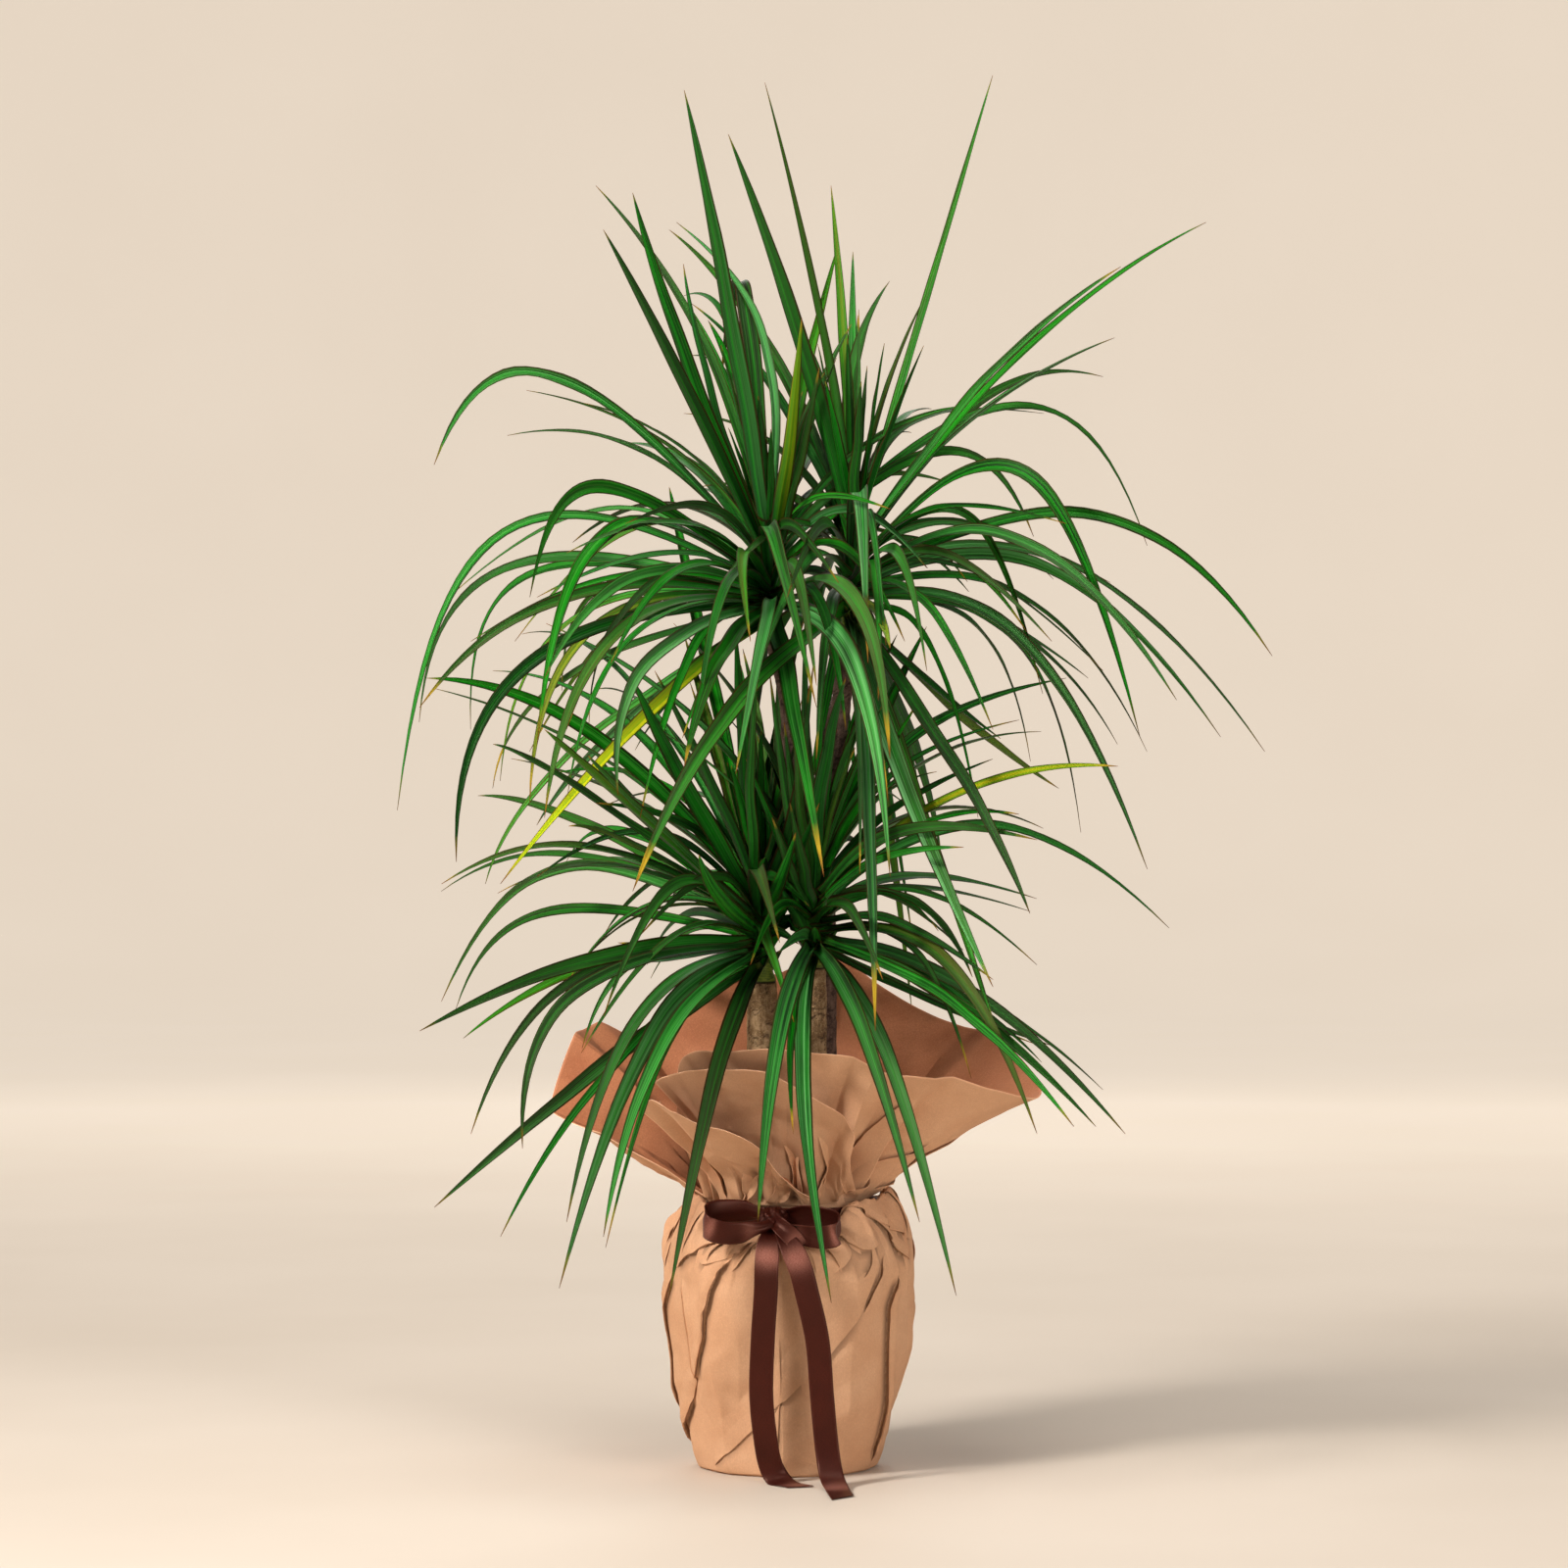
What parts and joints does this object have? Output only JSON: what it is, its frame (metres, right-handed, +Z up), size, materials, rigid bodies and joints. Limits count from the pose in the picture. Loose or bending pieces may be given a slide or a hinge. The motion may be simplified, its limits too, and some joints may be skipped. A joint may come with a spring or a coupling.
{
  "type": "potted dracaena",
  "caption": "Potted dracaena with three canes and four crowns of narrow arching leaves, its pot wrapped in kraft paper tied with a satin ribbon bow.",
  "frame": {"origin": "middle of the flat base under the wrapped pot", "axes": "+Z up through the plant, the bow and the front at -Y, +X to the right as seen from the front"},
  "size_m": [0.5942, 0.5259, 0.9498],
  "materials": {
    "leaves": "glossy ribbed strap leaves, thin dark red margins",
    "bark": "rough ringed cane bark",
    "soil": "crumbly dark potting soil",
    "pot_plastic": "matt black moulded",
    "kraft_paper": "creased kraft, fine fibre speckle",
    "ribbon_satin": "chocolate satin"
  },
  "bodies": {
    "root": {"crown_top_left": "leaves", "crown_top_right": "leaves", "crown_low_left": "leaves", "crown_low_right": "leaves", "cane_tall": "bark", "cane_short_left": "bark", "cane_short_right": "bark", "potting_soil": "soil", "nursery_pot": "pot_plastic", "paper_wrap": "kraft_paper", "paper_flap_upper": "kraft_paper", "paper_flap_lower": "kraft_paper", "satin_ribbon": "ribbon_satin"}
  },
  "joints": []
}
